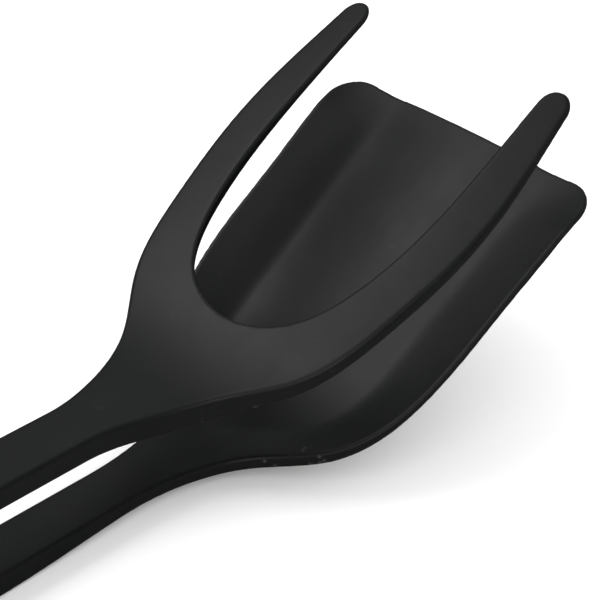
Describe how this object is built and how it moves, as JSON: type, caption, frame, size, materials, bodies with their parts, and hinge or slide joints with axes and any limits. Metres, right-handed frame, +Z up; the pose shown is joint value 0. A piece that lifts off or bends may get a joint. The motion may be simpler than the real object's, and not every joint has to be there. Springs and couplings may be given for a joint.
{
  "type": "turner and fork kitchen tongs",
  "caption": "Long kitchen tongs that pair a wide scooped turner blade below with a two-pronged fork above, moulded over steel strips and hinged with a spring at a hanging tail.",
  "frame": {"origin": "centre of the hanging hole in the tail of the lower arm, half way through the tongue", "axes": "+X from the tail to the head along the straight grip, +Y to the left, +Z up, along the hanging hole's axis"},
  "size_m": [0.2758, 0.0846, 0.0859],
  "materials": {
    "moulding": "matte black silicone moulding",
    "steel": "brushed stainless sheet",
    "rivet": "turned stainless rivet",
    "spring_steel": "drawn stainless spring wire",
    "nylon": "black nylon",
    "eyelet": "matte black silicone"
  },
  "bodies": {
    "spatula_arm": {"spatula_cover": "moulding", "spatula_core": "steel", "hinge_pin": "rivet", "ear_washer_left": "nylon", "ear_washer_right": "nylon", "spring_bush": "nylon", "torsion_spring": "spring_steel", "hang_eyelet": "eyelet"},
    "fork_arm": {"fork_cover": "moulding", "fork_core": "steel"}
  },
  "joints": [
    {"name": "arms_hinge", "type": "hinge", "parent": "spatula_arm", "child": "fork_arm", "pos_m": [0.022, 0, 0.0065], "axis": [0, 1, 0], "range_deg": [0, 6.2], "stiffness_Nm_per_rad": 1, "springref_deg": -5.73, "deforming": ["torsion_spring"]}
  ]
}
